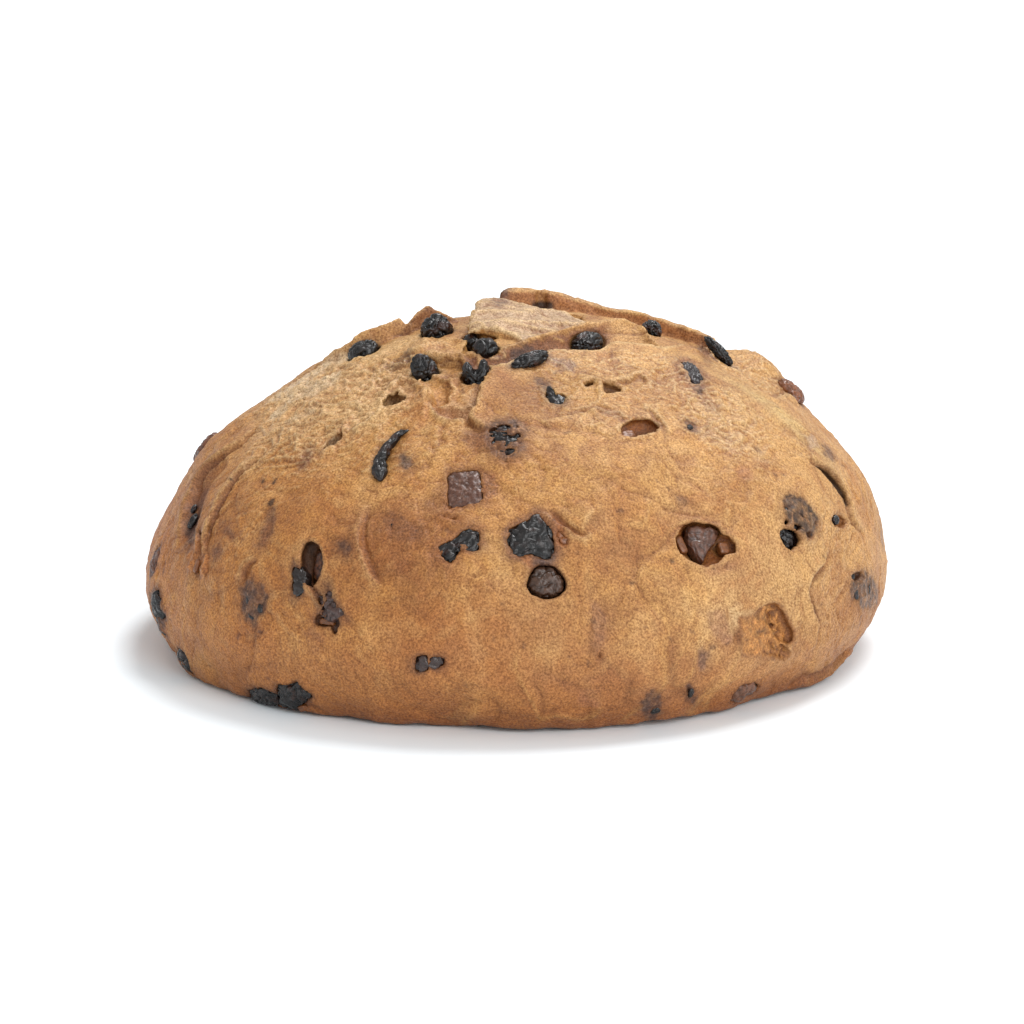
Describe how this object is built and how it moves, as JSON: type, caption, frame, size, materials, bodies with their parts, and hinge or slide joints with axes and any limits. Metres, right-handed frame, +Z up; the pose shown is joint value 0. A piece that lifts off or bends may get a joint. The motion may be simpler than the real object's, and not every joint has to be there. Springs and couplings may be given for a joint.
{
  "type": "sweet bread",
  "caption": "Round domed loaf of sweet fruit bread, its crown opened by a three-sided cut, with raisins and candied peel set in the crust; stands on a flat foot.",
  "frame": {"origin": "middle of the flat foot, at the level the loaf stands on", "axes": "+Z up; -Y towards the front, where the long front rim of the opened cut faces; +X to the right seen from the front"},
  "size_m": [0.2053, 0.1999, 0.0944],
  "materials": {
    "crust": "matte baked crust, golden tan to caramel brown, with smooth brown cut faces",
    "raisin": "near-black wrinkled skin, semi-gloss",
    "peel": "dark amber candied peel, sugar-grained, semi-gloss"
  },
  "bodies": {
    "root": {"loaf": "crust", "raisin_01": "raisin", "raisin_02": "raisin", "raisin_03": "raisin", "raisin_04": "raisin", "raisin_05": "raisin", "raisin_06": "raisin", "raisin_07": "raisin", "raisin_08": "raisin", "raisin_09": "raisin", "raisin_10": "raisin", "raisin_11": "raisin", "raisin_12": "raisin", "raisin_13": "raisin", "raisin_14": "raisin", "raisin_15": "raisin", "raisin_16": "raisin", "raisin_17": "raisin", "raisin_18": "raisin", "raisin_19": "raisin", "raisin_20": "raisin", "raisin_21": "raisin", "raisin_22": "raisin", "raisin_23": "raisin", "raisin_24": "raisin", "raisin_25": "raisin", "raisin_26": "raisin", "raisin_27": "raisin", "raisin_28": "raisin", "raisin_29": "raisin", "raisin_30": "raisin", "raisin_31": "raisin", "peel_01": "peel", "peel_02": "peel", "peel_03": "peel", "peel_04": "peel", "peel_05": "peel", "peel_06": "peel", "peel_07": "peel", "peel_08": "peel", "peel_09": "peel", "peel_10": "peel", "raisin_32": "raisin"}
  },
  "joints": []
}
